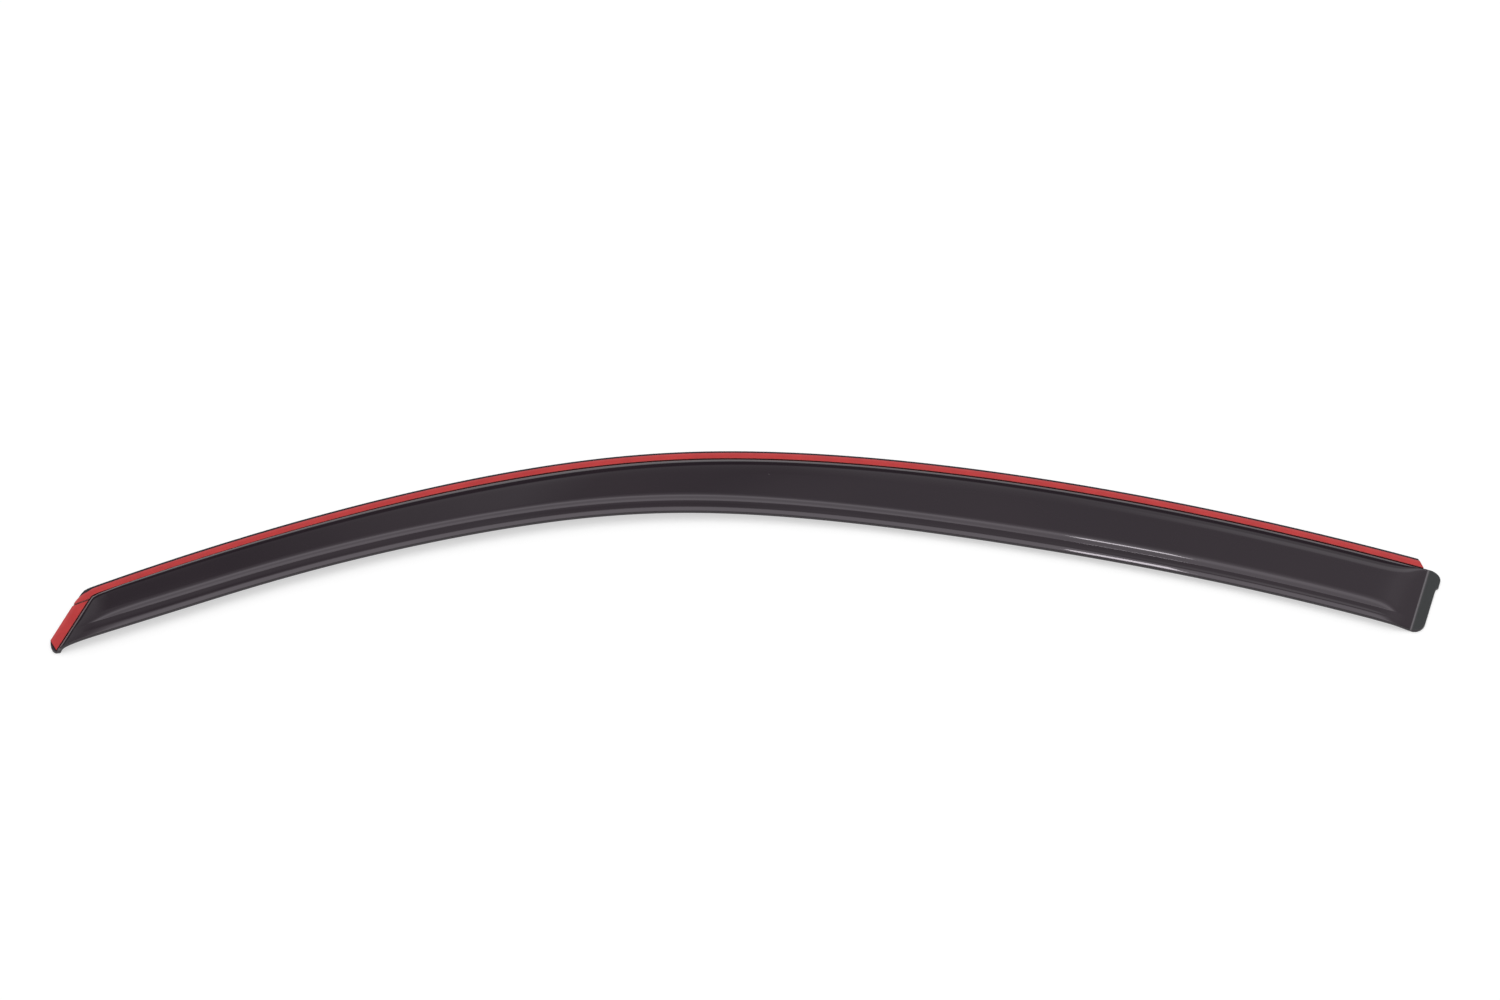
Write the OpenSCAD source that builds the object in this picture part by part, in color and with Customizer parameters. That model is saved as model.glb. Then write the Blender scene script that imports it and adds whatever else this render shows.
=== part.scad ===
// Window rain deflector: a smoke-tinted visor for a front side window, left-hand side.
// It lies with its outer face up on the flat of its flanges. +X runs to the rear of the car,
// +Y towards the roof edge and +Z away from the glass. Lengths are millimetres, angles degrees.
// A "station" is a place along the top edge, counted in X from where that edge bends most.
// A "depth" is the distance from the top edge towards the free lower edge.

/* [Top edge in plan] */
// Reach of the top edge from its tightest bend to the front corner
front_run = 402.5; // [340:0.5:460]
// Reach of the top edge from its tightest bend to the foot of the rear end wall
rear_run = 551; // [460:1:640]
// Radius of the tightest bend
crown_radius = 590; // [480:10:800]
// Radius that the bend opens out to towards the front
front_radius = 1500; // [1200:50:2600]
// Radius that the bend opens out to towards the rear
rear_radius = 1935; // [1400:5:3000]
// Half the length of the stretch that bends tightest
crown_spread = 108; // [70:1:150]
// Slope of the top edge at its tightest bend
crown_tilt = 4.9; // [0:0.1:8]

/* [Depth of the visor] */
// Depth that the visor tapers down to ahead of the front end
front_depth = 50.4; // [46:0.1:60]
// Full depth of the visor behind the bend
rear_depth = 70.4; // [64:0.1:85]
// Distance ahead of the front corner at which the depth would start to grow
growth_lead = 69; // [20:1:240]
// Length over which the depth grows
growth_run = 786; // [600:2:950]
// How far the lower edge draws in at the front edge
front_draw = 7.5; // [0:0.1:9]
// Length over which it draws in there
front_draw_run = 70; // [30:1:90]
// How far the lower edge draws in towards the rear end
rear_draw = 1.9; // [0:0.1:4]
// Length over which it draws in there
rear_draw_run = 320; // [150:10:400]

/* [Section] */
// Thickness of the moulded sheet
wall = 2.5; // [2:0.1:3.2]
// Width of the flat flange along the top
flange_w = 9; // [8:0.1:11]
// Width of the flat flange down the front end
front_flange_w = 8.4; // [7.5:0.1:10]
// Height of the step out of the top flange at the rear
step_rise = 1.6; // [1:0.1:2.4]
// How much higher the step is at the front corner
step_extra = 2.2; // [0:0.1:2.6]
// Length over which that extra height comes down
step_run = 330; // [200:10:450]
// Steepness of the step
riser_tilt = 71; // [60:1:76]
// Length over which the flange turns up into the step
riser_toe = 0.2; // [0.1:0.05:0.6]
// Slope at which the face leaves the top of the step
crest_tilt = 24.2; // [18:0.1:28]
// Share of the face's width over which that slope eases off
crest_share = 0.45; // [0.3:0.01:0.6]
// Crown of the main face above a straight line
face_bow = 0.2; // [0:0.1:1]
// Width of the roll at the foot of the main face, at the front half
roll_w = 6.5; // [5:0.1:8]
// How much wider the roll grows towards the rear
roll_widen = 2.8; // [0:0.1:4]
// Station behind the bend from which it widens
roll_start = 60; // [0:5:120]
// Length over which it widens
roll_run = 400; // [250:10:450]
// Drop of that roll
roll_drop = 1.7; // [1:0.1:2.4]
// Width of the groove below the roll
groove_w = 7.3; // [5:0.1:9]
// Rise of the groove's floor towards the lip
groove_rise = 0.6; // [0.2:0.1:1]
// Width of the lip at the free edge
lip_w = 4; // [2:0.1:5]
// Drop of the lip to its edge
lip_drop = 0.8; // [0.3:0.1:1.2]
// Height of the free edge above the flange plane at the front half
front_lift = 8; // [6:0.1:10]
// Height of the free edge above the flange plane at the rear half
rear_lift = 5; // [4:0.1:9]
// Station ahead of the bend, from which the free edge starts to come down
lift_lead = 100; // [40:1:160]
// Length over which it comes down
lift_run = 320; // [200:10:450]

/* [Front end] */
// How far the foot of the front edge lies ahead of the front corner
front_sweep = 50.5; // [40:0.5:58]
// Height of the step behind the front flange
front_step = 3; // [2:0.1:4]
// Slope at which the face climbs from that step
front_fall = 21.8; // [15:0.1:30]
// Length over which the slanted front straightens out
fan_run = 110; // [90:1:140]
// Length of the rounding of the front corner
corner_round = 4.5; // [3:0.5:8]
// Depth by which that rounding has faded out
corner_fade = 30; // [20:1:40]
// How much the pointed tip is cut back
tip_cut = 9; // [5:0.5:11]
// Length over which that cut fades out
tip_run = 10; // [8:0.5:14]

/* [Rear end] */
// Slope of the end wall
rear_fall = 19.8; // [14:0.1:28]
// How far the end wall leans outward from top to bottom
rear_lean = 2; // [0:0.1:4]
// Length over which that lean fades
lean_run = 120; // [80:5:160]
// Width of the flat end flange
end_flange_w = 8.1; // [6:0.1:9]
// Radius of the end flange's upper corner
end_round = 8; // [6:0.1:9]
// Radius of the end flange's lower corner
end_foot_round = 9; // [7:0.1:12]
// How far the lower edge tucks in at the foot of the end wall
end_tuck = 2.5; // [0:0.1:4]
// Length over which it tucks in
end_tuck_run = 22; // [16:1:30]
// Depth of the notch between the top flange and the end flange
notch_depth = 7.6; // [6.6:0.1:8.4]
// Length of the notch along the top edge
notch_run = 9.8; // [8:0.1:13]
// Length of the notch's level floor
notch_floor = 4.2; // [3:0.1:6]
// How far the tab stands out at the top of the end flange
tab_out = 1.5; // [0.8:0.1:3]
// Length of the tab below the rounded corner
tab_len = 5; // [3:0.5:9]
// Length over which the tab steps back
tab_fade = 3; // [2:0.1:5]

/* [Tape] */
// Clearance from the top edge to its tape
tape_margin = 2.9; // [1:0.1:3.6]
// Clearance from the top tape to the step
tape_gap = 0.8; // [0.3:0.1:1.4]
// Clearance from the front edge to its tape
front_margin = 0.5; // [0.3:0.1:1.2]
// Clearance from the front tape to its step
front_gap = 0.3; // [0.2:0.1:1.2]
// Clearance from the top tape to the notch
tape_end_gap = 0.6; // [0.3:0.1:1.5]
// Rounding of the top tape where it turns the front corner
tape_round = 4; // [2:0.5:6]
// How far below the flange the two tapes meet on the front edge
seam_below = 2.3; // [1:0.1:6]
// Gap between the two tapes
seam_gap = 0.3; // [0.1:0.1:0.8]
// Thickness of the foam tape
foam_t = 1.1; // [0.6:0.1:1.6]
// Thickness of the red release liner
liner_t = 0.15; // [0.1:0.05:0.3]

/* [Resolution] */
// Steps along the visor
station_steps = 68; // [40:1:70]
// Steps across the main face
face_steps = 8; // [6:1:9]

/* [Hidden] */

RADIAN = PI / 180;
// Sharpness with which the slopes and the step meet the section: higher is sharper
MEET = 4;
FLANGE_STEPS = 3;
RISER_STEPS = 5;
ROLL_STEPS = 4;
GROOVE_STEPS = 3;
LIP_STEPS = 2;
END_STEPS = 6;
WALL_STEPS = 6;
NOTCH_STEPS = 2;
// The groove starts with a tight corner, taken by a first short step
CORNER_SHARE = 0.08;

front_x = -front_run;
rear_x = rear_run;
// Plan distance between the outer and the inner foot of the step, for an even wall
foot_shift = wall * tan(riser_tilt / 2);
// Plan length of the step and its crest, which take the closest rows of points
CREST_RUNS = 2;
crest_reach = CREST_RUNS * (step_rise + step_extra) / tan(riser_tilt);

// A share that eases from 0 to 1 as t goes from 0 to 1
function ease(t) = let (c = max(0, min(1, t))) c * c * (3 - 2 * c);

// Share of a quarter circle's drop at t of its width
function round_off(t) = 1 - sqrt(1 - pow(max(0, min(1, t)), 2));

// Top edge: its bend falls from the crown's to that of the open radius as 1 / (1 + u * u)
function open_radius(x) = x < 0 ? front_radius : rear_radius;
function extra_bend(x) = 1 / crown_radius - 1 / open_radius(x);
function turn(x) = RADIAN * atan(x / crown_spread);
function top_slope(x) = tan(crown_tilt) - x / open_radius(x) - extra_bend(x) * crown_spread * turn(x);
function top_y(x) =
    let (u = x / crown_spread, bell = pow(crown_spread, 2) * (u * turn(x) - ln(1 + u * u) / 2))
    tan(crown_tilt) * x - x * x / 2 / open_radius(x) - extra_bend(x) * bell;
function on_top(x) = [x, top_y(x)];
function stretch(x) = norm([1, top_slope(x)]);
function rearward(x) = [1, top_slope(x)] / stretch(x);
function inward(x) = [top_slope(x), -1] / stretch(x);

// Depth of the visor before its ends draw in
function full_depth(x) =
    front_depth + (rear_depth - front_depth) * ease((x - front_x + growth_lead) / growth_run);

// Square distance of a station from the slanted front edge and from the foot of the end wall
front_rate = let (q = stretch(front_x), d = full_depth(front_x)) q * d / norm([d, front_sweep * q]);
rear_rate = stretch(rear_x);
function from_front(x) = (x - front_x) * front_rate;
function from_rear(x) = (rear_x - x) * rear_rate;

// Depth of the free edge at a station: drawn in at the ends, cut at the tip, rounded at the rear
function edge_depth(x) =
    full_depth(x)
    - front_draw * pow(max(0, 1 - from_front(x) / front_draw_run), 2)
    - rear_draw * ease(1 - from_rear(x) / rear_draw_run)
    - tip_cut * pow(max(0, 1 - from_front(x) / tip_run), 2)
    - end_tuck * pow(max(0, min(1, 1 - from_rear(x) / end_tuck_run)), 2)
    - end_foot_round * round_off(-from_rear(x) / end_flange_w);

// Depth at which a station starts: on the top edge, in the notch or on the end flange's corner
notch_slope = notch_depth / (notch_run - notch_floor);
function notch(x) = max(0, min(notch_depth, notch_slope * (notch_run - from_rear(x))));
function start_depth(x) = notch(x) + end_round * round_off(-from_rear(x) / end_flange_w);

// Width of the roll, and of the roll, groove and lip together
function roll_width(x) = roll_w + roll_widen * ease((x - roll_start) / roll_run);
function lower_width(x) = roll_width(x) + groove_w + lip_w;

// Line across the visor at a station: its start, its direction, its length and how squarely it
// leaves the top edge and meets the lower edge. It leans along the front edge at the front end.
function crossing(x) =
    let (
        front_share = 1 - ease((from_front(x) - front_flange_w) / fan_run),
        rear_share = 1 - ease(from_rear(x) / lean_run),
        low_x = x - front_sweep * front_share + rear_lean * rear_share,
        a = on_top(x),
        b = on_top(low_x) + full_depth(x) * inward(low_x),
        along = (b - a) / norm(b - a)
    )
    [a, along, norm(b - a), along * inward(x), along * inward(low_x)];

// Distance along the crossing for a depth, square to the edge near each of the two edges
function reach(c, x, depth) =
    let (
        full = full_depth(x),
        far = full - lower_width(x),
        near_reach = flange_w / c[3],
        far_reach = c[2] - lower_width(x) / c[4]
    )
    depth < flange_w ? depth / c[3]
    : depth > far ? c[2] - (full - depth) / c[4]
    : near_reach + (far_reach - near_reach) * (depth - flange_w) / (far - flange_w);

// Pull of the rounded front corner and push of the tab, in plan
corner_pull = rearward(front_x) + crossing(front_x)[1];
function corner_shift(x, depth) =
    let (off = abs(depth - from_front(x)) / corner_round, fade = max(0, 1 - depth / corner_fade))
    corner_round / 4 * fade * pow(max(0, 1 - off), 2) * corner_pull;
function tab_shift(x, depth) =
    let (share = max(0, min(1, -from_rear(x) / end_flange_w)))
    tab_out * share * (1 - ease((depth - notch_depth - end_round - tab_len) / tab_fade)) * rearward(x);

// Point in plan at a station and a depth
function plan(x, depth, c) =
    c[0] + reach(c, x, depth) * c[1] + corner_shift(x, depth) + tab_shift(x, depth);
function plan_at(x, depth) = plan(x, depth, crossing(x));

// Section above the flange: step, face, roll, groove and lip
function step_height(x) = step_rise + step_extra * (1 - ease((x - front_x) / step_run));
function lift(x) = front_lift + (rear_lift - front_lift) * ease((x + lift_lead) / lift_run);
function section(x, depth) =
    let (
        floor_h = lift(x) + lip_drop - groove_rise,
        step = step_height(x),
        climb = floor_h + roll_drop - step,
        face_end = edge_depth(x) - lower_width(x),
        roll_end = face_end + roll_width(x),
        face_w = face_end - flange_w,
        t = (depth - flange_w) / face_w,
        in_roll = (depth - face_end) / roll_width(x),
        in_groove = (depth - roll_end) / groove_w,
        in_lip = (depth - roll_end - groove_w) / lip_w,
        easing_w = crest_share * face_w,
        slope = (climb - tan(crest_tilt) * easing_w / 2) / (face_w - easing_w / 2),
        eased = (tan(crest_tilt) - slope) * easing_w / 2,
        easing = 1 - pow(max(0, min(1, 1 - t / crest_share)), 2)
    )
    in_roll < 0 ? step + eased * easing + (climb - eased) * t + 4 * face_bow * t * (1 - t)
    : in_groove < 0 ? floor_h + roll_drop * (1 - pow(in_roll, 2))
    : in_lip < 0 ? floor_h + groove_rise * pow(in_groove, 2)
    : floor_h + groove_rise - lip_drop * pow(min(1, in_lip), 1.5);

// Lower of two heights, with a soft turn between them
function meet(a, b) = pow(pow(a, -MEET) + pow(b, -MEET), -1 / MEET);

// Height of the step at a distance behind its foot
function riser(run) = tan(riser_tilt) * run * run / (run + riser_toe);

// Height above the flange plane: the section, met by the climbs from both ends and by the step
function rise(x, depth, shift) =
    let (
        from_step = depth - flange_w - shift,
        from_front_step = from_front(x) - front_flange_w - shift,
        front_climb = front_step + tan(front_fall) * (from_front(x) - front_flange_w),
        rear_climb = tan(rear_fall) * from_rear(x)
    )
    min(from_step, from_front_step, from_rear(x)) <= 0 ? 0
    : meet(
        meet(meet(section(x, depth), front_climb), rear_climb),
        meet(riser(from_step), riser(from_front_step))
    );

// Depths of a station's points, from its start to the free edge
function depths(x, shift) =
    let (
        first = notch(x),
        last = edge_depth(x),
        foot = flange_w + shift,
        face_start = foot + crest_reach,
        face_end = last - lower_width(x),
        groove_start = face_end + roll_width(x),
        lip_start = groove_start + groove_w,
        squeeze = (start_depth(x) - first) / (last - first)
    )
    [for (d = [
        for (i = [0 : FLANGE_STEPS]) first + (foot - first) * i / FLANGE_STEPS,
        for (i = [1 : RISER_STEPS]) foot + crest_reach * pow(i / RISER_STEPS, 2),
        for (i = [1 : face_steps]) face_start + (face_end - face_start) * i / face_steps,
        for (i = [1 : ROLL_STEPS]) face_end + roll_width(x) * i / ROLL_STEPS,
        groove_start + groove_w * CORNER_SHARE,
        for (i = [2 : GROOVE_STEPS]) groove_start + groove_w * i / GROOVE_STEPS,
        for (i = [1 : LIP_STEPS]) lip_start + lip_w * i / LIP_STEPS
    ]) d + squeeze * (last - d)];

// Stations of the mesh: front flange, front step, body, rear end wall, notch and end flange
function stations(shift) =
    let (
        foot_x = front_x + (front_flange_w + shift) / front_rate,
        body_x = foot_x + crest_reach / front_rate,
        notch_x = rear_x - notch_run / rear_rate,
        floor_x = rear_x - notch_floor / rear_rate,
        wall_x = notch_x - 1.5 * end_tuck_run
    )
    [
        for (i = [0 : END_STEPS - 1]) front_x + (foot_x - front_x) * i / END_STEPS,
        for (i = [0 : RISER_STEPS - 1]) foot_x + (body_x - foot_x) * pow(i / RISER_STEPS, 2),
        for (i = [0 : station_steps - 1]) body_x + (wall_x - body_x) * i / station_steps,
        for (i = [0 : WALL_STEPS - 1]) wall_x + (notch_x - wall_x) * i / WALL_STEPS,
        for (i = [0 : NOTCH_STEPS - 1]) notch_x + (floor_x - notch_x) * i / NOTCH_STEPS,
        for (i = [0 : NOTCH_STEPS]) floor_x + (rear_x - floor_x) * i / NOTCH_STEPS,
        for (i = [1 : END_STEPS]) rear_x + end_flange_w * sin(90 * i / END_STEPS) / rear_rate
    ];

// Points of one side of the sheet, a list for each station
function side(base, shift) = [
    for (x = stations(shift))
    let (c = crossing(x))
    [for (d = depths(x, shift)) concat(plan(x, d, c), base + rise(x, d, shift))]
];

outside = side(wall, 0);
inside = side(0, foot_shift);

// Places the origin under the middle of the whole visor
plan_x = [for (row = concat(outside, inside), p = row) p[0]];
plan_y = [for (row = concat(outside, inside), p = row) p[1]];
middle = [(min(plan_x) + max(plan_x)) / 2, (min(plan_y) + max(plan_y)) / 2, 0];

// A closed sheet between two equal grids of points
module sheet(upper, lower) {
    columns = len(upper);
    rows = len(upper[0]);
    last = columns - 1;
    half = columns * rows;
    function at(i, j) = i * rows + j;
    polyhedron(
        points = concat([for (row = upper) each row], [for (row = lower) each row]),
        faces = [
            for (i = [0 : last - 1], j = [0 : rows - 2]) each [
                [at(i, j), at(i + 1, j), at(i + 1, j + 1)],
                [at(i, j), at(i + 1, j + 1), at(i, j + 1)],
                [half + at(i, j), half + at(i + 1, j + 1), half + at(i + 1, j)],
                [half + at(i, j), half + at(i, j + 1), half + at(i + 1, j + 1)]
            ],
            for (i = [0 : last - 1]) each [
                [at(i + 1, 0), at(i, 0), half + at(i, 0), half + at(i + 1, 0)],
                [at(i, rows - 1), at(i + 1, rows - 1), half + at(i + 1, rows - 1), half + at(i, rows - 1)]
            ],
            for (j = [0 : rows - 2]) each [
                [at(0, j), at(0, j + 1), half + at(0, j + 1), half + at(0, j)],
                [at(last, j + 1), at(last, j), half + at(last, j), half + at(last, j + 1)]
            ]
        ]
    );
}

// Tape outlines. Distances from the front edge are turned into stations.
function station_at(front_distance) = front_x + front_distance / front_rate;
outer_d = front_margin;
inner_d = front_flange_w - front_gap;
inner_depth = flange_w - tape_gap;
seam_depth = flange_w + seam_below;
ROUND_STEPS = 6;
FRONT_STEPS = 8;
TAPE_STEPS = 76;

// A line down the front edge, at one distance from it
function down_front(distance, from, to) = [
    for (i = [0 : FRONT_STEPS]) plan_at(station_at(distance), from + (to - from) * i / FRONT_STEPS)
];

// A line along the top edge at one depth, up to a rear end cut parallel to the notch
function along_top(depth, from) =
    let (
        first = station_at(from),
        last = rear_x - (notch_run - depth / notch_slope + tape_end_gap) / rear_rate
    )
    [for (i = [0 : TAPE_STEPS]) plan_at(first + (last - first) * i / TAPE_STEPS, depth)];

function backwards(list) = [for (i = [len(list) - 1 : -1 : 0]) list[i]];

top_outline = concat(
    down_front(outer_d, seam_depth, tape_margin + tape_round),
    [for (i = [1 : ROUND_STEPS - 1])
        let (turn = 90 * i / ROUND_STEPS)
        plan_at(
            station_at(outer_d + tape_round * (1 - cos(turn))),
            tape_margin + tape_round * (1 - sin(turn))
        )],
    along_top(tape_margin, outer_d + tape_round),
    backwards(along_top(inner_depth, inner_d)),
    down_front(inner_d, inner_depth + seam_below / 2, seam_depth)
);

// Depth of the front tape's lower end, at one distance from the front edge
function tape_foot(distance) = edge_depth(station_at(distance)) - front_margin;
front_start = seam_depth + seam_gap;
front_outline = concat(
    down_front(outer_d, front_start, tape_foot(outer_d)),
    [for (i = [1 : FRONT_STEPS - 1])
        let (d = outer_d + (inner_d - outer_d) * i / FRONT_STEPS)
        plan_at(station_at(d), tape_foot(d))],
    down_front(inner_d, tape_foot(inner_d), front_start)
);

module strip(outline, bottom, thickness) {
    translate([0, 0, bottom] - middle)
        linear_extrude(thickness)
            polygon(outline);
}

module deflector_shell() {
    color([0.16, 0.14, 0.16])
        translate(-middle)
            sheet(outside, inside);
}

module top_tape() {
    color([0.12, 0.11, 0.12])
        strip(top_outline, wall, foam_t);
}

module front_tape() {
    color([0.12, 0.11, 0.12])
        strip(front_outline, wall, foam_t);
}

module top_liner() {
    color([0.72, 0.16, 0.15])
        strip(top_outline, wall + foam_t, liner_t);
}

module front_liner() {
    color([0.76, 0.18, 0.16])
        strip(front_outline, wall + foam_t, liner_t);
}

deflector_shell();
top_tape();
front_tape();
top_liner();
front_liner();
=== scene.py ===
"""Looks of the window rain deflector: a smooth moulded shell, tapes and liners, camera and light.

The shell follows the same formulas as the part's source, on a much finer grid and with rounded
edges. Lengths of the part are millimetres until a mesh is made, and metres from there on.
"""
import math

import bpy
import numpy as np
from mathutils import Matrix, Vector


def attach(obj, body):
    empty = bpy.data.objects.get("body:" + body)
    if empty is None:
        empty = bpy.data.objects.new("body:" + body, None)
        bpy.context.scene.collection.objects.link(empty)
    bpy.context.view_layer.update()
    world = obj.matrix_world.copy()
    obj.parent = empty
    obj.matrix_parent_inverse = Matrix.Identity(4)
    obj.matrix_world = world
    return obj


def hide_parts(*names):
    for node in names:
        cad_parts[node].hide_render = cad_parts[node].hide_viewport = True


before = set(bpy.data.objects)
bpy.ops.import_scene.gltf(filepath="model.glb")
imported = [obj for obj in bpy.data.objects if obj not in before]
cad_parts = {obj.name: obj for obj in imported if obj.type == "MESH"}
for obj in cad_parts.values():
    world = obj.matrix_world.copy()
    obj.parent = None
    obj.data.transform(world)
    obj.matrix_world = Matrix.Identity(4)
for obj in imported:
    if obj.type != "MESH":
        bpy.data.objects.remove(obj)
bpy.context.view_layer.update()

# Sizes as in the part's source, apart from a slimmer roll and groove, a rounder tape corner
# and a wider seam
front_run, rear_run = 402.5, 551.0
crown_radius, front_radius, rear_radius = 590.0, 1500.0, 1935.0
crown_spread, crown_tilt = 108.0, math.radians(4.9)
front_depth, rear_depth = 50.4, 70.4
growth_lead, growth_run = 69.0, 786.0
front_draw, front_draw_run = 7.5, 70.0
rear_draw, rear_draw_run = 1.9, 320.0
wall, flange_w, front_flange_w = 2.5, 9.0, 8.4
step_rise, step_extra, step_run = 1.6, 2.2, 330.0
riser_slope, riser_toe = math.tan(math.radians(71)), 0.2
face_bow = 0.2
crest_slope, crest_share = math.tan(math.radians(24.2)), 0.45
roll_w, roll_widen, roll_lead, roll_run, roll_drop = 6.0, 2.8, -60.0, 400.0, 1.7
groove_w, groove_rise = 6.1, 0.6
lip_w, lip_drop = 4.0, 0.8
front_lift, rear_lift, lift_lead, lift_run = 8.0, 5.0, 100.0, 320.0
front_sweep, front_step, front_fall, fan_run = 50.5, 3.0, math.tan(math.radians(21.8)), 110.0
corner_round, corner_fade, tip_cut, tip_run = 4.5, 30.0, 9.0, 10.0
rear_fall, rear_lean, lean_run = math.tan(math.radians(19.8)), 2.0, 120.0
end_flange_w, end_round, end_foot_round = 8.1, 8.0, 9.0
end_tuck, end_tuck_run = 2.5, 22.0
notch_depth, notch_run, notch_floor = 7.6, 9.8, 4.2
tab_out, tab_len, tab_fade = 1.5, 5.0, 3.0
tape_margin, tape_gap, front_margin, front_gap = 2.9, 0.8, 0.5, 0.3
tape_end_gap, tape_round, seam_below, seam_gap = 0.6, 6.5, 2.3, 0.6
foam_t, liner_t = 1.1, 0.15
# How sharply two slopes meet, in general and at the front step, and where the one turns to the other
MEET, FRONT_MEET = 4.0, 2.4
meet_lead, meet_run = 6.0, 12.0
# Powers of the roll's and the lip's curves
roll_power, lip_power = 2.4, 1.2
# A fine bead on the rear half: distance from the free edge, growth along the visor, height, width
bead_in, bead_growth, bead_h, bead_w = 14.6, 0.0185, 0.01, 0.8
bead_start, bead_start_run, bead_end, bead_end_run = 30.0, 110.0, 12.0, 70.0
# The front step's crest eases into the face over a short run
front_crest, front_crest_run = 0.3, 1.5
# Millimetres in a metre, and the least height that enters a power
MM = 1000
LEAST_HEIGHT = 1e-4

front_x, rear_x = -front_run, rear_run
foot_shift = wall * math.tan(math.atan(riser_slope) / 2)


def ease(t):
    """Smooth change from 0 to 1, held at both ends."""
    t = np.clip(t, 0, 1)
    return t * t * (3 - 2 * t)


def round_off(t):
    """Quarter of a circle, from 0 to 1."""
    return 1 - np.sqrt(1 - np.clip(t, 0, 1) ** 2)


# Top edge
def open_radius(x):
    return np.where(x < 0, front_radius, rear_radius)


def extra_bend(x):
    return 1 / crown_radius - 1 / open_radius(x)


def top_slope(x):
    crown_bend = extra_bend(x) * crown_spread * np.arctan(x / crown_spread)
    return math.tan(crown_tilt) - x / open_radius(x) - crown_bend


def top_y(x):
    u = x / crown_spread
    bell = crown_spread ** 2 * (u * np.arctan(u) - np.log1p(u * u) / 2)
    return math.tan(crown_tilt) * x - x * x / 2 / open_radius(x) - extra_bend(x) * bell


def on_top(x):
    return np.stack([x, top_y(x)], -1)


def rearward(x):
    m = top_slope(x)
    return np.stack([np.ones_like(m), m], -1) / np.hypot(1, m)[..., None]


def inward(x):
    m = top_slope(x)
    return np.stack([m, -np.ones_like(m)], -1) / np.hypot(1, m)[..., None]


# Plan
def full_depth(x):
    return front_depth + (rear_depth - front_depth) * ease((x - front_x + growth_lead) / growth_run)


q_front = math.hypot(1, float(top_slope(np.array(front_x))))
d_front = float(full_depth(np.array(front_x)))
front_rate = q_front * d_front / math.hypot(d_front, front_sweep * q_front)
rear_rate = math.hypot(1, float(top_slope(np.array(rear_x))))


def from_front(x):
    return (x - front_x) * front_rate


def from_rear(x):
    return (rear_x - x) * rear_rate


def edge_depth(x):
    return (full_depth(x)
            - front_draw * np.maximum(0, 1 - from_front(x) / front_draw_run) ** 2
            - rear_draw * ease(1 - from_rear(x) / rear_draw_run)
            - tip_cut * np.maximum(0, 1 - from_front(x) / tip_run) ** 2
            - end_tuck * np.clip(1 - from_rear(x) / end_tuck_run, 0, 1) ** 2
            - end_foot_round * round_off(-from_rear(x) / end_flange_w))


notch_slope = notch_depth / (notch_run - notch_floor)


def notch(x):
    return np.clip(notch_slope * (notch_run - from_rear(x)), 0, notch_depth)


def start_depth(x):
    return notch(x) + end_round * round_off(-from_rear(x) / end_flange_w)


def crossing(x):
    """Line across the visor at a station: its start, way and length, and its slants at both ends."""
    front_share = 1 - ease((from_front(x) - front_flange_w) / fan_run)
    rear_share = 1 - ease(from_rear(x) / lean_run)
    low_x = x - front_sweep * front_share + rear_lean * rear_share
    a = on_top(x)
    b = on_top(low_x) + full_depth(x)[..., None] * inward(low_x)
    length = np.linalg.norm(b - a, axis=-1)
    along = (b - a) / length[..., None]
    return a, along, length, (along * inward(x)).sum(-1), (along * inward(low_x)).sum(-1)


def roll_width(x):
    return roll_w + roll_widen * ease((x + roll_lead) / roll_run)


def lower_width(x):
    return roll_width(x) + groove_w + lip_w


def plan(x, depth):
    """Plan points for stations and depths of equal shape."""
    lower_w = lower_width(x)
    a, along, length, lead, trail = crossing(x)
    full = full_depth(x)
    near_reach = flange_w / lead
    far_reach = length - lower_w / trail
    face_w = full - lower_w - flange_w
    middle_reach = near_reach + (far_reach - near_reach) * (depth - flange_w) / face_w
    reach = np.where(depth < flange_w, depth / lead,
                     np.where(depth > full - lower_w, length - (full - depth) / trail, middle_reach))
    p = a + reach[..., None] * along
    off = np.maximum(0, 1 - np.abs(depth - from_front(x)) / corner_round)
    fade = np.maximum(0, 1 - depth / corner_fade)
    p = p + (corner_round / 4 * fade * off ** 2)[..., None] * corner_pull
    share = np.clip(-from_rear(x) / end_flange_w, 0, 1)
    push = tab_out * share * (1 - ease((depth - notch_depth - end_round - tab_len) / tab_fade))
    return p + push[..., None] * rearward(x)


corner_x = np.array(front_x)
corner_pull = rearward(corner_x) + crossing(corner_x)[1]


# Section
def lift(x):
    return front_lift + (rear_lift - front_lift) * ease((x + lift_lead) / lift_run)


def step_height(x):
    return step_rise + step_extra * (1 - ease((x - front_x) / step_run))


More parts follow.
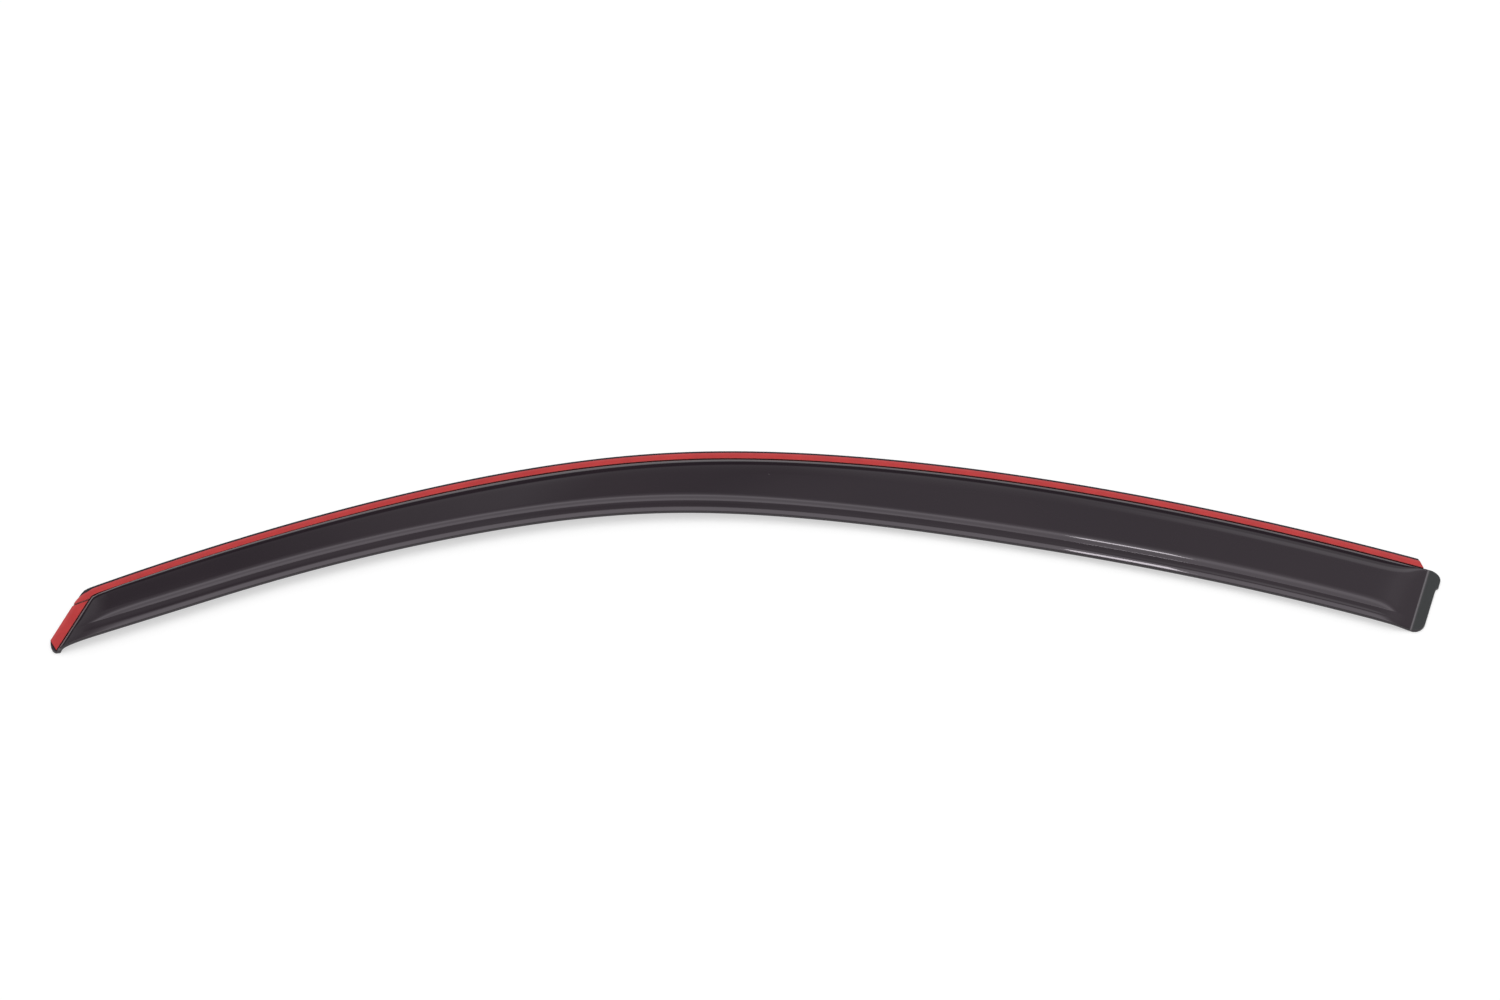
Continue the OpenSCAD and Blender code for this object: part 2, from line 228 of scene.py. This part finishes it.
def section(x, depth):
    floor_h = lift(x) + lip_drop - groove_rise
    crown_h = floor_h + roll_drop
    face_end = edge_depth(x) - lower_width(x)
    roll_end = face_end + roll_width(x)
    t = (depth - flange_w) / (face_end - flange_w)
    step = step_height(x)
    climb = crown_h - step
    easing_w = crest_share * (face_end - flange_w)
    slope = (climb - crest_slope * easing_w / 2) / (face_end - flange_w - easing_w / 2)
    eased = (crest_slope - slope) * easing_w / 2
    easing = 1 - np.clip(1 - t / crest_share, 0, 1) ** 2
    in_roll = (depth - face_end) / roll_width(x)
    in_groove = (depth - roll_end) / groove_w
    in_lip = (depth - roll_end - groove_w) / lip_w
    face = step + eased * easing + (climb - eased) * t + 4 * face_bow * t * (1 - t)
    roll = crown_h - roll_drop * np.maximum(in_roll, 0) ** roll_power
    groove = floor_h + groove_rise * np.maximum(in_groove, 0) ** 2
    lip = floor_h + groove_rise - lip_drop * np.clip(in_lip, 0, 1) ** lip_power
    from_bead = (edge_depth(x) - depth - bead_in - bead_growth * x) / bead_w
    fade = ease((x - bead_start) / bead_start_run) * ease((from_rear(x) - bead_end) / bead_end_run)
    bead = bead_h * fade * np.exp(-from_bead ** 2)
    lower = np.where(in_groove < 0, roll, np.where(in_lip < 0, groove, lip))
    return bead + np.where(in_roll < 0, face, lower)


def meet(first, second, sharpness):
    """The lower of two heights, with a rounded change from one to the other."""
    first, second = np.maximum(first, LEAST_HEIGHT), np.maximum(second, LEAST_HEIGHT)
    return (first ** -sharpness + second ** -sharpness) ** (-1 / sharpness)


def riser(run):
    run = np.maximum(run, 0)
    return riser_slope * run * run / (run + riser_toe)


def rise(x, depth, shift):
    """Height above the flanges; the shift moves the risers' feet in for the inner face."""
    behind = np.maximum(0, from_front(x) - front_flange_w)
    crest = front_crest * (1 - np.exp(-behind / front_crest_run))
    front_climb = front_step + front_fall * behind + crest
    climb = meet(section(x, depth), front_climb, MEET)
    climb = meet(climb, rear_fall * np.maximum(0, from_rear(x)), MEET)
    top = riser(depth - flange_w - shift)
    front = riser(from_front(x) - front_flange_w - shift)
    past_crest = ease((from_front(x) - front_flange_w - meet_lead) / meet_run)
    sharpness = FRONT_MEET + (MEET - FRONT_MEET) * past_crest
    out = meet(climb, meet(top, front, MEET), sharpness)
    flat = (depth <= flange_w + shift) | (from_front(x) <= front_flange_w + shift) | (from_rear(x) <= 0)
    return np.where(flat, 0, out)


# Fine grid
def steps(first, last, count, tail=False):
    """Even steps from first to last, the last one only with a tail."""
    out = np.linspace(first, last, count + 1)
    return out if tail else out[:-1]


# Rounding of the cut edges, and the grid lines over it
EDGE_R = 0.4
EDGE = EDGE_R * np.array([0, 0.1, 0.24, 0.45, 0.72, 1.08])
# Angles of the grid lines round the end flange's corners
END_ANGLES = np.radians([4, 10, 18, 27, 36, 46, 56, 65, 72, 78, 83, 87, 90])
# Finer zones of the grid: past a step, over the fan of the front end, before the rear end, and at
# the face's lower end; CROWDING draws the lines towards the step
step_zone, fan_zone, rear_zone, face_zone = 6.0, 110.0, 60.0, 4.0
CROWDING = 1.5
# First grid line past the rounding, at the front and on the top edge
front_first, top_first = 1.2, 1.1
GROOVE_SHARES = (0, 0.015, 0.04, 0.08, 0.14, 0.22, 0.35, 0.5, 0.65, 0.8, 0.9)


def stations(shift):
    """Stations of the grid's columns from the front to the end flange."""
    land = front_x + EDGE / front_rate
    foot = front_x + (front_flange_w + shift) / front_rate
    crest = foot + step_zone / front_rate
    end = rear_x + end_flange_w * np.sin(END_ANGLES) / rear_rate
    notch_x, floor_x = rear_x - notch_run / rear_rate, rear_x - notch_floor / rear_rate
    return np.concatenate([
        land, steps(front_x + front_first / front_rate, foot, 12),
        foot + (crest - foot) * steps(0, 1, 12) ** CROWDING,
        steps(crest, crest + fan_zone, 56), steps(crest + fan_zone, rear_x - rear_zone, 170),
        steps(rear_x - rear_zone, notch_x, 40), steps(notch_x, floor_x, 8),
        steps(floor_x, rear_x, 12), end])


def depths(x, shift):
    """Depths of every station's points, one row for each station."""
    first, last = notch(x), edge_depth(x)
    foot = flange_w + shift
    face_end, roll_here = last - lower_width(x), roll_width(x)
    face_start, face_tail = foot + step_zone, face_end - face_zone
    parts = [first + e for e in EDGE]
    parts += [first + top_first + (foot - first - top_first) * t for t in steps(0, 1, 7)]
    parts += [np.full(x.shape, foot + step_zone * t ** CROWDING) for t in steps(0, 1, 16)]
    parts += [face_start + (face_tail - face_start) * t for t in steps(0, 1, 15)]
    parts += [face_tail + t for t in steps(0, face_zone, 8)]
    parts += [face_end + roll_here * t for t in steps(0, 1, 18)]
    parts += [face_end + roll_here + groove_w * t for t in GROOVE_SHARES]
    parts += [last - lip_w + (lip_w - EDGE[-1]) * t for t in steps(0, 1, 5)]
    parts += [last - e for e in EDGE[::-1]]
    d = np.stack(parts, -1)
    squeeze = (start_depth(x) - first) / (last - first)
    return d + squeeze[:, None] * (last[:, None] - d)


def side(base, shift):
    """One face of the sheet: its grid of points, and their stations and depths."""
    x = stations(shift)
    d = depths(x, shift)
    xx = np.broadcast_to(x[:, None], d.shape)
    xy = plan(xx, d)
    z = base + rise(xx, d, shift)
    return np.concatenate([xy, z[..., None]], -1), xx, d


outer, outer_x, outer_d = side(wall, 0)
inner, inner_x, inner_d = side(0, foot_shift)
low = np.minimum(outer[..., :2].min((0, 1)), inner[..., :2].min((0, 1)))
high = np.maximum(outer[..., :2].max((0, 1)), inner[..., :2].max((0, 1)))
middle = np.append((low + high) / 2, 0)


def border(grid):
    """The outline of a grid, once round."""
    return np.concatenate([grid[:, 0], grid[-1, 1:], grid[-2::-1, -1], grid[0, -2:0:-1]])


def border_distance(points, line, batch=2000):
    """Plan distance from each point to a closed outline, a batch of points at a time."""
    a, b = line, np.roll(line, -1, 0)
    ab = b - a
    length_squared = np.maximum((ab * ab).sum(-1), 1e-12)
    flat = points.reshape(-1, 2)
    best = np.zeros(len(flat))
    for k in range(0, len(flat), batch):
        p = flat[k:k + batch, None]
        t = np.clip(((p - a) * ab).sum(-1) / length_squared, 0, 1)
        best[k:k + batch] = np.linalg.norm(p - a - t[..., None] * ab, axis=-1).min(1)
    return best.reshape(points.shape[:-1])


# Rounding of both faces' borders, and how near each point is to a cut edge
cut_edges = []
for grid, sign in ((outer, -1), (inner, 1)):
    e = border_distance(grid[..., :2], border(grid)[:, :2])
    cut_edges.append(np.clip(1 - 2 * e / EDGE_R, 0, 1))
    grid[..., 2] += sign * (EDGE_R - np.sqrt(EDGE_R ** 2 - np.clip(EDGE_R - e, 0, EDGE_R) ** 2))


def make_mesh(name, points, faces, material, attributes):
    """A smooth piece from points in millimetres, with its values for each point."""
    mesh = bpy.data.meshes.new(name)
    mesh.from_pydata(((points - middle) / MM).tolist(), [], faces.tolist())
    mesh.validate()
    for key, values in attributes.items():
        layer = mesh.attributes.new(key, "FLOAT", "POINT")
        layer.data.foreach_set("value", np.asarray(values, np.float32).ravel())
    mesh.polygons.foreach_set("use_smooth", [True] * len(mesh.polygons))
    mesh.materials.append(material)
    piece = bpy.data.objects.new(name, mesh)
    bpy.context.scene.collection.objects.link(piece)
    return piece


def sheet_faces(columns, rows):
    """Quads of a closed sheet between two equal grids, the outer one first."""
    half = columns * rows
    i, j = np.meshgrid(np.arange(columns - 1), np.arange(rows - 1), indexing="ij")
    a = (i * rows + j).ravel()
    up = np.stack([a, a + rows, a + rows + 1, a + 1], -1)
    down = up[:, ::-1] + half
    ring = np.concatenate([
        np.arange(columns) * rows, (columns - 1) * rows + np.arange(1, rows),
        np.arange(columns - 2, -1, -1) * rows + rows - 1, np.arange(rows - 2, 0, -1)])
    following = np.roll(ring, -1)
    rim = np.stack([following, ring, ring + half, following + half], -1)
    return np.concatenate([up, down, rim])


# Materials
def new_material(name):
    mat = bpy.data.materials.new(name)
    mat.use_nodes = True
    tree = mat.node_tree
    return mat, tree, tree.nodes["Principled BSDF"]


def node(tree, kind, **values):
    """A new node with its inputs or settings given by name."""
    n = tree.nodes.new(kind)
    for key, value in values.items():
        if key in n.inputs:
            n.inputs[key].default_value = value
        else:
            setattr(n, key, value)
    return n


def noise(tree, scale, detail, roughness=0.55, stretch=None):
    """Noise in object coordinates, stretched where asked."""
    coords = node(tree, "ShaderNodeTexCoord")
    source = coords.outputs["Object"]
    if stretch:
        mapping = node(tree, "ShaderNodeMapping")
        mapping.inputs["Scale"].default_value = stretch
        tree.links.new(source, mapping.inputs["Vector"])
        source = mapping.outputs["Vector"]
    field = node(tree, "ShaderNodeTexNoise", Scale=scale, Detail=detail, Roughness=roughness)
    tree.links.new(source, field.inputs["Vector"])
    return field.outputs["Fac"]


def remap(tree, value, low, high, to_low, to_high):
    """A value taken from one range to another, held at its ends."""
    span = node(tree, "ShaderNodeMapRange")
    for key, number in (("From Min", low), ("From Max", high), ("To Min", to_low), ("To Max", to_high)):
        span.inputs[key].default_value = number
    tree.links.new(value, span.inputs["Value"])
    return span.outputs["Result"]


def blend(tree, factor, first, second):
    """Mix of two colours, each a tuple or a socket."""
    mix = node(tree, "ShaderNodeMix", data_type="RGBA")
    tree.links.new(factor, mix.inputs[0])
    for socket, colour in ((mix.inputs[6], first), (mix.inputs[7], second)):
        if isinstance(colour, tuple):
            socket.default_value = (*colour, 1)
        else:
            tree.links.new(colour, socket)
    return mix.outputs[2]


def math_node(tree, operation, first, second):
    """A math node on two values, each a number or a socket."""
    n = node(tree, "ShaderNodeMath", operation=operation)
    for socket, value in zip(n.inputs, (first, second)):
        if isinstance(value, (int, float)):
            socket.default_value = value
        else:
            tree.links.new(value, socket)
    return n.outputs[0]


def bump(tree, bsdf, layers):
    """Height layers, each a socket and its height in metres, as one bump."""
    total = None
    for height, size in layers:
        scaled = math_node(tree, "MULTIPLY", height, size)
        total = scaled if total is None else math_node(tree, "ADD", total, scaled)
    relief = node(tree, "ShaderNodeBump", Strength=1.0, Distance=1.0)
    tree.links.new(total, relief.inputs["Height"])
    tree.links.new(relief.outputs["Normal"], bsdf.inputs["Normal"])


def attribute(tree, name):
    """A value that the mesh holds for each point."""
    return node(tree, "ShaderNodeAttribute", attribute_name=name).outputs["Fac"]


# Colours of the acrylic
TINT_DARK, TINT_PALE = (0.0175, 0.0115, 0.0165), (0.0205, 0.0135, 0.0185)
END_COLOUR, CUT_COLOUR = (0.019, 0.024, 0.023), (0.022, 0.018, 0.021)
# The first colour is a painted highlight for the pale lines at the end wall's foot and the front step's
# crest; the second is dust
PAINTED_HIGHLIGHT_COLOUR, DUST_COLOUR = (0.2, 0.19, 0.2), (0.22, 0.21, 0.21)
# Its roughness: polished and smudged, end flange, cut edge, dust
POLISH, SMUDGE, END_ROUGHNESS, CUT_ROUGHNESS, DUST_ROUGHNESS = 0.025, 0.07, 0.34, 0.22, 0.6
# Dust: specks in a share of the cells of a given scale, and their size in the cells
DUST_SCALE, DUST_ABOVE, DUST_SIZE = 70.0, 0.93, 0.016
# Heights of its waviness and of the end flange's grain, in metres
WAVE_HEIGHT, GRAIN_HEIGHT = 0.00003, 0.00003


def acrylic():
    """Smoke acrylic: polished and faintly wavy, satin on the end flange and the cut edges, with painted
    highlight lines at the end wall's foot and on the front step's crest.
    """
    mat, tree, bsdf = new_material("smoke_acrylic")
    end, cut = attribute(tree, "end_flange"), attribute(tree, "cut_edge")
    depth_of_tint = remap(tree, noise(tree, 9, 2), 0.35, 0.65, 0, 1)
    body = blend(tree, depth_of_tint, TINT_DARK, TINT_PALE)
    body = blend(tree, end, body, END_COLOUR)
    body = blend(tree, cut, body, CUT_COLOUR)
    # Painted highlight: paler colour along the end wall's foot and the front step's crest
    body = blend(tree, attribute(tree, "painted_highlight_line"), body, PAINTED_HIGHLIGHT_COLOUR)
    dust_cells = node(tree, "ShaderNodeTexVoronoi", Scale=DUST_SCALE)
    coords = node(tree, "ShaderNodeTexCoord")
    tree.links.new(coords.outputs["Object"], dust_cells.inputs["Vector"])
    picked = node(tree, "ShaderNodeSeparateColor")
    tree.links.new(dust_cells.outputs["Color"], picked.inputs[0])
    chosen = math_node(tree, "GREATER_THAN", picked.outputs[0], DUST_ABOVE)
    near = math_node(tree, "LESS_THAN", dust_cells.outputs["Distance"], DUST_SIZE)
    dust = math_node(tree, "MULTIPLY", chosen, near)
    body = blend(tree, dust, body, DUST_COLOUR)
    tree.links.new(body, bsdf.inputs["Base Color"])
    smudges = noise(tree, 14, 5, 0.6, (0.6, 1.4, 1))
    rough = remap(tree, smudges, 0.5, 0.8, POLISH, SMUDGE)
    for place, value in ((end, END_ROUGHNESS), (cut, CUT_ROUGHNESS), (dust, DUST_ROUGHNESS)):
        rough = math_node(tree, "MAXIMUM", rough, math_node(tree, "MULTIPLY", place, value))
    tree.links.new(rough, bsdf.inputs["Roughness"])
    bsdf.inputs["IOR"].default_value = 1.49
    bsdf.inputs["Specular Tint"].default_value = (1.0, 0.93, 1.0, 1)
    grain = math_node(tree, "MULTIPLY", noise(tree, 1500, 2), end)
    waves = noise(tree, 12, 1, 0.4, (0.4, 1.5, 1))
    bump(tree, bsdf, ((waves, WAVE_HEIGHT), (grain, GRAIN_HEIGHT)))
    return mat


# Colours of the film, the last of them a painted sheen, and the heights of its creases and grain in
# metres
FILM_DARK, FILM_BRIGHT, FILM_PAINTED_SHEEN = (0.47, 0.024, 0.026), (0.57, 0.034, 0.034), (0.62, 0.2, 0.22)
CREASE_HEIGHT, FILM_GRAIN_HEIGHT = 0.00012, 0.00001


def film():
    """Red release film: satin, with a painted sheen that makes it paler along its outer side, and faint
    creases across it.
    """
    mat, tree, bsdf = new_material("release_liner")
    across = attribute(tree, "across")
    mottle = remap(tree, noise(tree, 60, 4, 0.6), 0.3, 0.7, 0, 1)
    body = blend(tree, mottle, FILM_DARK, FILM_BRIGHT)
    # Painted sheen: the film's colour is paler towards its outer side, in place of light glancing off it
    painted_sheen = remap(tree, across, 0.0, 0.45, 0.16, 0)
    body = blend(tree, painted_sheen, body, FILM_PAINTED_SHEEN)
    tree.links.new(body, bsdf.inputs["Base Color"])
    tree.links.new(remap(tree, noise(tree, 35, 3), 0.35, 0.65, 0.34, 0.5), bsdf.inputs["Roughness"])
    bsdf.inputs["Specular IOR Level"].default_value = 0.4
    creases = noise(tree, 90, 3, 0.6, (1.0, 0.15, 1))
    bump(tree, bsdf, ((creases, CREASE_HEIGHT), (noise(tree, 900, 2), FILM_GRAIN_HEIGHT)))
    return mat


# Colours of the foam, and the depth of its pores in metres
FOAM_DARK, FOAM_BRIGHT = (0.2, 0.05, 0.048), (0.27, 0.07, 0.065)
PORE_DEPTH = 0.00012


def foam():
    """Dark red closed-cell foam with fine pores."""
    mat, tree, bsdf = new_material("foam_tape")
    mottle = remap(tree, noise(tree, 400, 3), 0.3, 0.7, 0, 1)
    body = blend(tree, mottle, FOAM_DARK, FOAM_BRIGHT)
    tree.links.new(body, bsdf.inputs["Base Color"])
    bsdf.inputs["Roughness"].default_value = 0.75
    pores = node(tree, "ShaderNodeTexVoronoi", Scale=2600.0)
    coords = node(tree, "ShaderNodeTexCoord")
    tree.links.new(coords.outputs["Object"], pores.inputs["Vector"])
    bump(tree, bsdf, ((pores.outputs["Distance"], PORE_DEPTH),))
    return mat


acrylic_mat, film_mat, foam_mat = acrylic(), film(), foam()


def add_piece(piece, node_name):
    """Fix a piece to the part in the place of its CAD node."""
    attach(piece, "root")
    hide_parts(node_name)


# Shell: how softly the finish changes at the end flange, and how the front step's painted highlight line
# fades in
end_soft, front_highlight_fade = 0.6, 1.5


def soft_line(distance, strength, centre, width):
    """Strength of a soft painted highlight line at some distance from an edge."""
    return strength * np.exp(-((distance - centre) / width) ** 2)


columns, rows = outer.shape[:2]
all_x = np.concatenate([outer_x.ravel(), inner_x.ravel()])
all_d = np.concatenate([outer_d.ravel(), inner_d.ravel()])
# Painted highlight lines, paler colour in place of light caught by an edge: at the foot of the end wall,
# and on the crest of the front step below the top flange
end_painted_highlight = soft_line(from_rear(all_x), 0.8, 0.6, 0.45)
front_painted_highlight = soft_line(from_front(all_x) - front_flange_w, 1.0, 1.2, 0.6)
front_painted_highlight *= ease((all_d - flange_w) / front_highlight_fade)
shell = make_mesh("shell", np.concatenate([outer.reshape(-1, 3), inner.reshape(-1, 3)]),
                  sheet_faces(columns, rows), acrylic_mat,
                  {"end_flange": ease(0.5 - from_rear(all_x) / end_soft),
                   "painted_highlight_line": np.maximum(end_painted_highlight, front_painted_highlight),
                   "cut_edge": np.concatenate([c.ravel() for c in cut_edges])})
add_piece(shell, "deflector_shell")


# Tapes and liners
def station_at(front_distance):
    """Station at some distance from the front edge."""
    return front_x + np.asarray(front_distance, float) / front_rate


def edge_line(station, depth):
    """Plan points of a line, where the station or the depth may be one value for all."""
    x, d = np.broadcast_arrays(np.asarray(station, float), np.asarray(depth, float))
    return plan(x, d)


# The liner is a little wider than its foam at the front, and its ends stand further apart
liner_margin, liner_gap = 0.2, 1.5
inner_in = front_flange_w - front_gap
inner_deep = flange_w - tape_gap
inner_round = 0.25


def top_tape_lines(outer_in, gap):
    """Outer and inner edge of the top tape, point for point, from the seam to the rear."""
    seam_deep = flange_w + seam_below - gap / 2
    leg = steps(0, 1, 12)
    turn = np.radians(steps(0, 90, 12))
    run = steps(0, 1, 420, tail=True)
    bevel = inner_round * turn / np.pi * 2
    outside = [edge_line(station_at(outer_in), seam_deep + (tape_margin + tape_round - seam_deep) * leg),
               edge_line(station_at(outer_in + tape_round * (1 - np.cos(turn))),
                         tape_margin + tape_round * (1 - np.sin(turn)))]
    inside = [edge_line(station_at(inner_in), seam_deep + (inner_deep + inner_round - seam_deep) * leg),
              edge_line(station_at(inner_in + bevel), inner_deep + inner_round - bevel)]
    for lines, depth, start in ((outside, tape_margin, outer_in + tape_round),
                                (inside, inner_deep, inner_in + inner_round)):
        first = station_at(start)
        last = rear_x - (notch_run - depth / notch_slope + tape_end_gap) / rear_rate
        lines.append(edge_line(first + (last - first) * run, depth))
    return np.concatenate(outside), np.concatenate(inside)


def front_tape_lines(outer_in, gap):
    """Outer and inner edge of the front tape, from the seam down to the tip."""
    first = flange_w + seam_below + gap / 2
    down = steps(0, 1, 60, tail=True)
    lines = []
    for distance in (outer_in, inner_in):
        x = station_at(distance)
        foot = float(edge_depth(x)) - outer_in
        lines.append(edge_line(x, first + (foot - first) * down))
    return lines


# Shares across a ribbon, closer together near its edges
ACROSS = np.concatenate([[0, 0.012, 0.035, 0.07], np.linspace(0.14, 0.86, 7), [0.93, 0.965, 0.988, 1]])
# Ripple: lengths of its long and short waves and of their drift, and the part that stays flat at the ends
long_length, short_length, drift_length, calm_end = 17.0, 7.3, 61.0, 6.0


def ribbon(name, lines, bottom, thickness, corner, material, wave=0.0):
    """A flat strip between two lines, with softened edges and a slight waviness on top."""
    across = ACROSS
    flat = lines[0][:, None] * (1 - across[:, None]) + lines[1][:, None] * across[:, None]
    width = np.linalg.norm(lines[1] - lines[0], axis=-1)[:, None]
    inset = np.minimum(across, 1 - across) * width
    drop = corner - np.sqrt(np.maximum(0, corner ** 2 - np.clip(corner - inset, 0, corner) ** 2))
    pieces = np.linalg.norm(np.diff(lines[0], axis=0), axis=-1)
    length = np.concatenate([[0], np.cumsum(pieces)])[:, None]
    long_wave = np.sin(length / long_length + 3 * np.sin(length / drift_length))
    short_wave = 0.6 * np.sin(length / short_length + 6 * across)
    ripple = wave * (long_wave + short_wave) / 2
    ends = np.minimum(1, np.minimum(length, length[-1] - length) / calm_end)
    top = bottom + thickness - drop + ripple * ends * 4 * across * (1 - across)
    upper = np.concatenate([flat, top[..., None]], -1)
    lower = np.concatenate([flat, np.full(flat.shape[:2] + (1,), bottom)], -1)
    both = np.concatenate([upper.reshape(-1, 3), lower.reshape(-1, 3)])
    share = np.broadcast_to(across, flat.shape[:2]).ravel()
    return make_mesh(name, both, sheet_faces(*flat.shape[:2]), material,
                     {"across": np.concatenate([share, share])})


# Rounding of the strips' edges, and the height of the liners' ripple
foam_corner, liner_corner, liner_wave = 0.12, 0.06, 0.05
for place, tape_lines in (("top", top_tape_lines), ("front", front_tape_lines)):
    foam_piece = ribbon(f"foam_{place}", tape_lines(front_margin, seam_gap), wall, foam_t,
                        foam_corner, foam_mat)
    add_piece(foam_piece, f"{place}_tape")
    liner = ribbon(f"liner_{place}", tape_lines(liner_margin, liner_gap), wall + foam_t, liner_t,
                   liner_corner, film_mat, liner_wave)
    add_piece(liner, f"{place}_liner")

# Camera, aimed at a point of the part's plan from 48 degrees above the floor
aim = (np.array([67.4, -43.52, 0]) - middle) / MM
elevation, distance = math.radians(48), 2.88
LENS, SENSOR_WIDTH, CLIP_END = 96, 36, 50

camera_data = bpy.data.cameras.new("camera")
camera_data.lens = LENS
camera_data.sensor_width = SENSOR_WIDTH
camera_data.clip_end = CLIP_END
camera = bpy.data.objects.new("camera", camera_data)
camera.location = Vector(aim) + distance * Vector((0, -math.cos(elevation), math.sin(elevation)))
camera.rotation_euler = (math.pi / 2 - elevation, 0, 0)
bpy.context.scene.collection.objects.link(camera)
bpy.context.scene.camera = camera
bpy.context.scene.view_settings.view_transform = "Standard"

# Floor: its own tone, the glow it adds where it is seen or mirrored, its size and how far it lies
# below the part, in metres
FLOOR_TONE, FLOOR_GLOW, FLOOR_SIZE, FLOOR_DROP = 0.52, 0.56, 30, 0.0001
floor_mat, tree, bsdf = new_material("floor")
bsdf.inputs["Base Color"].default_value = (FLOOR_TONE, FLOOR_TONE, FLOOR_TONE, 1)
bsdf.inputs["Roughness"].default_value = 1
bsdf.inputs["Specular IOR Level"].default_value = 0
bsdf.inputs["Emission Color"].default_value = (1, 1, 1, 1)
path = node(tree, "ShaderNodeLightPath")
lit = node(tree, "ShaderNodeMath", operation="MULTIPLY")
seen = node(tree, "ShaderNodeMath", operation="MAXIMUM")
tree.links.new(path.outputs["Is Camera Ray"], seen.inputs[0])
tree.links.new(path.outputs["Is Glossy Ray"], seen.inputs[1])
tree.links.new(seen.outputs[0], lit.inputs[0])
lit.inputs[1].default_value = FLOOR_GLOW
tree.links.new(lit.outputs[0], bsdf.inputs["Emission Strength"])
bpy.ops.mesh.primitive_plane_add(size=FLOOR_SIZE, location=(0, 0, -FLOOR_DROP))
floor = bpy.context.object
floor.name = "floor"
floor.data.materials.append(floor_mat)

# Brightness of the room against the elevation in degrees, and the brightness that the ramp's white
# stands for
LEVELS = ((0, 1.0), (5.5, 1.0), (6.5, 0.05), (15, 0.05), (18, 0.55), (24, 0.5), (42, 0.5),
          (51, 0.58), (57, 0.85), (64, 1.4), (69, 2.4), (76, 2.4), (83, 1.8), (90, 1.8))
OVERHEAD = 90
ROOM_TOP = 3.0
# Cards of the room: centre, half width and softness of azimuth and elevation in radians, then how
# much they dim the room; below zero they brighten it
CARDS = (((-0.026, 0.07, 0.02), (0.47, 0.24, 0.06), 0.32),
         ((-0.32, 0.14, 0.06), (0.42, 0.2, 0.08), 0.55),
         ((0.62, 0.3, 0.15), (0.65, 0.25, 0.1), -0.5),
         ((0.7, 0.52, 0.04), (0.52, 0.09, 0.03), -0.9))
# A small flat lamp near the visor, mirrored in the lip and the roll of its rear half: the point it
# shines at, the way to it from there, and its size in metres
LAMP_TARGET, LAMP_DIRECTION, LAMP_DISTANCE = (0.2673, -0.0158, 0.0078), (0.0, 0.279, 0.96), 1.0
LAMP_LENGTH, LAMP_WIDTH, LAMP_WATTS = 0.09, 0.08, 0.29
world = bpy.data.worlds.new("studio")
bpy.context.scene.world = world
world.use_nodes = True
tree = world.node_tree
tree.nodes.clear()
out = node(tree, "ShaderNodeOutputWorld")
mix = node(tree, "ShaderNodeMixShader")
white = node(tree, "ShaderNodeBackground", Color=(1, 1, 1, 1), Strength=1.0)
room = node(tree, "ShaderNodeBackground", Strength=1.0)
path = node(tree, "ShaderNodeLightPath")
coords = node(tree, "ShaderNodeTexCoord")
split = node(tree, "ShaderNodeSeparateXYZ")
arc = node(tree, "ShaderNodeMath", operation="ARCSINE")
to_share = node(tree, "ShaderNodeMath", operation="MULTIPLY")
to_share.inputs[1].default_value = 2 / math.pi
ramp = node(tree, "ShaderNodeValToRGB")
tree.links.new(coords.outputs["Generated"], split.inputs[0])
tree.links.new(split.outputs["Z"], arc.inputs[0])
tree.links.new(arc.outputs[0], to_share.inputs[0])
tree.links.new(to_share.outputs[0], ramp.inputs["Fac"])


def window(value, centre, half, soft):
    """1 near a centre and 0 beyond half a width from it, with a soft border."""
    offset = math_node(tree, "ABSOLUTE", math_node(tree, "SUBTRACT", value, centre), 0.0)
    return remap(tree, offset, half - soft, half + soft, 1, 0)


azimuth = math_node(tree, "ARCTAN2", split.outputs["X"], split.outputs["Y"])
level = ramp.outputs["Color"]
for card_azimuth, card_elevation, dim in CARDS:
    across_card = window(azimuth, *card_azimuth)
    up_card = window(arc.outputs[0], *card_elevation)
    card = math_node(tree, "MULTIPLY", across_card, up_card)
    kept = math_node(tree, "SUBTRACT", 1.0, math_node(tree, "MULTIPLY", card, dim))
    level = math_node(tree, "MULTIPLY", level, kept)
tree.links.new(level, room.inputs["Color"])
tree.links.new(path.outputs["Is Camera Ray"], mix.inputs["Fac"])
tree.links.new(room.outputs[0], mix.inputs[1])
tree.links.new(white.outputs[0], mix.inputs[2])
tree.links.new(mix.outputs[0], out.inputs[0])
while len(ramp.color_ramp.elements) < len(LEVELS):
    ramp.color_ramp.elements.new(0.5)
for element, (angle, brightness) in zip(ramp.color_ramp.elements, LEVELS):
    element.position = angle / OVERHEAD
    element.color = (brightness / ROOM_TOP, brightness / ROOM_TOP, brightness / ROOM_TOP, 1)
room.inputs["Strength"].default_value = ROOM_TOP

# Lamp
lamp_data = bpy.data.lights.new("near_lamp", "AREA")
lamp_data.shape = "RECTANGLE"
lamp_data.size = LAMP_LENGTH
lamp_data.size_y = LAMP_WIDTH
lamp_data.energy = LAMP_WATTS
lamp = bpy.data.objects.new("near_lamp", lamp_data)
bpy.context.collection.objects.link(lamp)
lamp.location = Vector(LAMP_TARGET) + LAMP_DISTANCE * Vector(LAMP_DIRECTION)
lamp.rotation_euler = Vector(LAMP_DIRECTION).to_track_quat("Z", "Y").to_euler()
lamp.visible_camera = False
